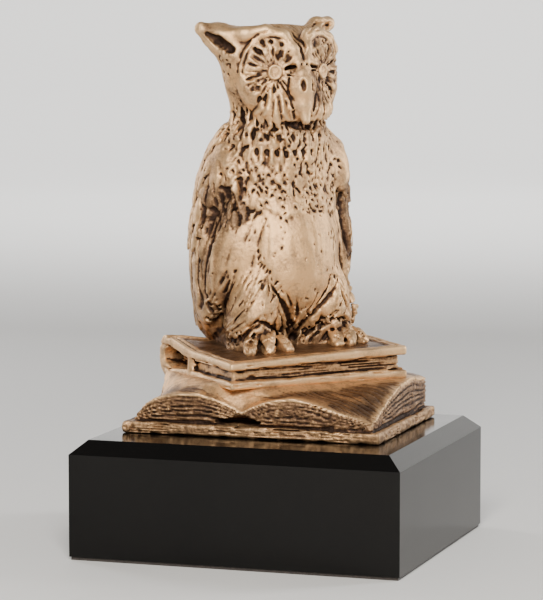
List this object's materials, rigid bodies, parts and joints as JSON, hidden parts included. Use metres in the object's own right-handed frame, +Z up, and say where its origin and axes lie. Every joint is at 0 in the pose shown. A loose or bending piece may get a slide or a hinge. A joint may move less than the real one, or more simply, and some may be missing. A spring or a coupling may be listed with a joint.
{
  "type": "owl figurine",
  "caption": "Horned owl standing on a closed book laid across an open book, cast with an antique bronze finish, on a black chamfered plinth.",
  "frame": {"origin": "centre of the felt's underside, which is the face the figurine stands on", "axes": "+Z up; -Y is the plinth's long front side; +X is to the right seen from the front; the owl looks 52 degrees to the right of -Y"},
  "size_m": [0.1, 0.0904, 0.1555],
  "materials": {
    "antique_bronze": "cast resin with a pale bronze paint rubbed over a dark brown wash, low gloss",
    "black_lacquer": "black high-gloss lacquer",
    "felt": "black felt",
    "zinc_steel": "bright zinc plating",
    "brass": "turned brass"
  },
  "bodies": {
    "root": {"plinth": "black_lacquer", "felt_base": "felt", "open_book": "antique_bronze", "closed_book": "antique_bronze", "owl_figure": "antique_bronze", "threaded_insert": "brass", "fixing_stud": "zinc_steel", "plain_washer": "zinc_steel", "lock_washer": "zinc_steel", "hex_nut": "zinc_steel", "plinth_pin_1": "zinc_steel", "plinth_pin_2": "zinc_steel", "book_pin_1": "zinc_steel", "book_pin_2": "zinc_steel", "owl_pin_1": "zinc_steel", "owl_pin_2": "zinc_steel"}
  },
  "joints": []
}
